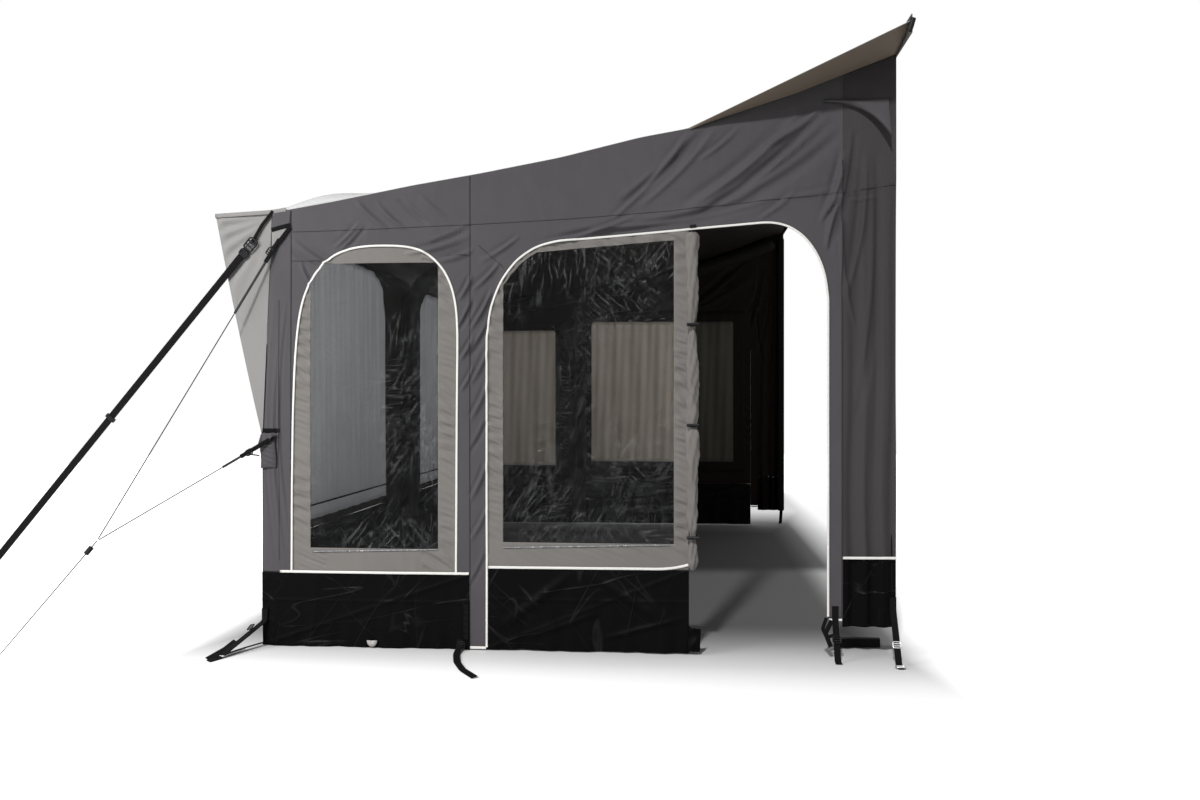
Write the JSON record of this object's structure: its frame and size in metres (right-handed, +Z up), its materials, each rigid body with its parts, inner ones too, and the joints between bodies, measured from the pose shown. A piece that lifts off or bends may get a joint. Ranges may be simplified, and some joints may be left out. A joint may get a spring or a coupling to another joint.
{
  "type": "caravan awning",
  "caption": "Porch awning for a caravan's side: inflated beams, a sloping roof that ends in a rail bead, clear windows, arched doors, mud walls, vent hoods, pegging straps and guy lines.",
  "frame": {"origin": "on the ground, under the middle of the awning", "axes": "+X towards the caravan, +Y along the caravan to the far end, +Z up"},
  "size_m": [3.9615, 4.4587, 2.3915],
  "materials": {
    "wall_cloth": "matt coated polyester, dark warm grey",
    "roof_cloth": "matt coated polyester, light grey",
    "border_cloth": "matt coated polyester, taupe",
    "mud_wall": "coated PVC, near black",
    "film": "clear vinyl",
    "beam_cloth": "woven sleeve over an air tube, dark grey",
    "webbing": "woven webbing and cord, black",
    "hardware": "moulded plastic, black"
  },
  "bodies": {
    "awning": {"roof_panel": "roof_cloth", "near_roof_wing": "roof_cloth", "far_roof_wing": "roof_cloth", "keder_strip": "roof_cloth", "near_front_panel": "roof_cloth", "far_front_panel": "roof_cloth", "near_front_film": "film", "far_front_film": "film", "front_mud_wall": "mud_wall", "near_air_beam": "beam_cloth", "centre_air_beam": "beam_cloth", "far_air_beam": "beam_cloth", "near_post_sleeve": "wall_cloth", "far_post_sleeve": "wall_cloth", "near_window_panel": "wall_cloth", "far_window_panel": "wall_cloth", "near_window_film": "film", "far_window_film": "film", "near_mud_wall": "mud_wall", "far_mud_wall": "mud_wall", "near_door_surround": "wall_cloth", "far_door_surround": "wall_cloth", "near_rear_panel": "wall_cloth", "far_rear_panel": "wall_cloth", "near_rear_mud_wall": "mud_wall", "far_rear_mud_wall": "mud_wall", "near_rear_pad": "wall_cloth", "far_rear_pad": "wall_cloth", "near_corner_strap": "webbing", "far_corner_strap": "webbing", "near_rear_strap": "webbing", "far_rear_strap": "webbing", "near_door_strap": "webbing", "storm_strap": "webbing", "storm_strap_buckle": "hardware", "guy_upper_tab": "webbing", "guy_lower_tab": "webbing", "guy_upper": "webbing", "guy_lower": "webbing", "guy_main": "webbing", "guy_pocket": "wall_cloth"},
    "near_door": {"near_door_panel": "border_cloth", "near_door_film": "film", "near_door_skirt": "mud_wall", "near_door_fold": "border_cloth", "near_toggle_bottom": "hardware", "near_toggle_middle": "hardware", "near_toggle_top": "hardware"},
    "far_door": {"far_door_panel": "border_cloth", "far_door_film": "film", "far_door_skirt": "mud_wall"},
    "near_hood": {"near_vent_hood": "wall_cloth"},
    "far_hood": {"far_vent_hood": "wall_cloth"},
    "near_cap": {"near_valve_cap": "hardware"},
    "centre_cap": {"centre_valve_cap": "hardware"},
    "far_cap": {"far_valve_cap": "hardware"},
    "near_zip": {"near_zip_slider": "hardware"},
    "far_zip": {"far_zip_slider": "hardware"},
    "strap_adjuster": {"storm_strap_slider": "hardware"},
    "line_runner": {"guy_runner": "hardware"}
  },
  "joints": [
    {"name": "near_door_swing", "type": "hinge", "parent": "awning", "child": "near_door", "pos_m": [-0.2381, -1.95, 0.8], "axis": [0, 0, 1], "range_deg": [-165, 0]},
    {"name": "far_door_swing", "type": "hinge", "parent": "awning", "child": "far_door", "pos_m": [-0.2381, 1.95, 0.8], "axis": [0, 0, 1], "range_deg": [0, 165]},
    {"name": "near_hood_tilt", "type": "hinge", "parent": "awning", "child": "near_hood", "pos_m": [1.2107, -1.9523, 2.1558], "axis": [1, 0, 0], "range_deg": [0, 15.5]},
    {"name": "far_hood_tilt", "type": "hinge", "parent": "awning", "child": "far_hood", "pos_m": [1.2107, 1.9523, 2.1558], "axis": [1, 0, 0], "range_deg": [-15.5, 0]},
    {"name": "near_cap_turn", "type": "hinge", "parent": "awning", "child": "near_cap", "pos_m": [-1.0304, -1.8907, 0.36], "axis": [1, 0, 0], "continuous": true},
    {"name": "centre_cap_turn", "type": "hinge", "parent": "awning", "child": "centre_cap", "pos_m": [-1.0304, 0, 0.36], "axis": [1, 0, 0], "continuous": true},
    {"name": "far_cap_turn", "type": "hinge", "parent": "awning", "child": "far_cap", "pos_m": [-1.0304, 1.8907, 0.36], "axis": [1, 0, 0], "continuous": true},
    {"name": "near_zip_travel", "type": "slide", "parent": "awning", "child": "near_zip", "axis": [0.9972, 0, 0.0753], "range_m": [-0.5, 0.26]},
    {"name": "far_zip_travel", "type": "slide", "parent": "awning", "child": "far_zip", "axis": [0, 0, 1], "range_m": [-0.075, 1.1]},
    {"name": "strap_adjust", "type": "slide", "parent": "awning", "child": "strap_adjuster", "axis": [-0.6458, 0, -0.7635], "range_m": [-0.6, 0.5]},
    {"name": "runner_adjust", "type": "slide", "parent": "awning", "child": "line_runner", "axis": [-0.5912, -0.2006, -0.7812], "range_m": [-0.018, 0.45]}
  ]
}
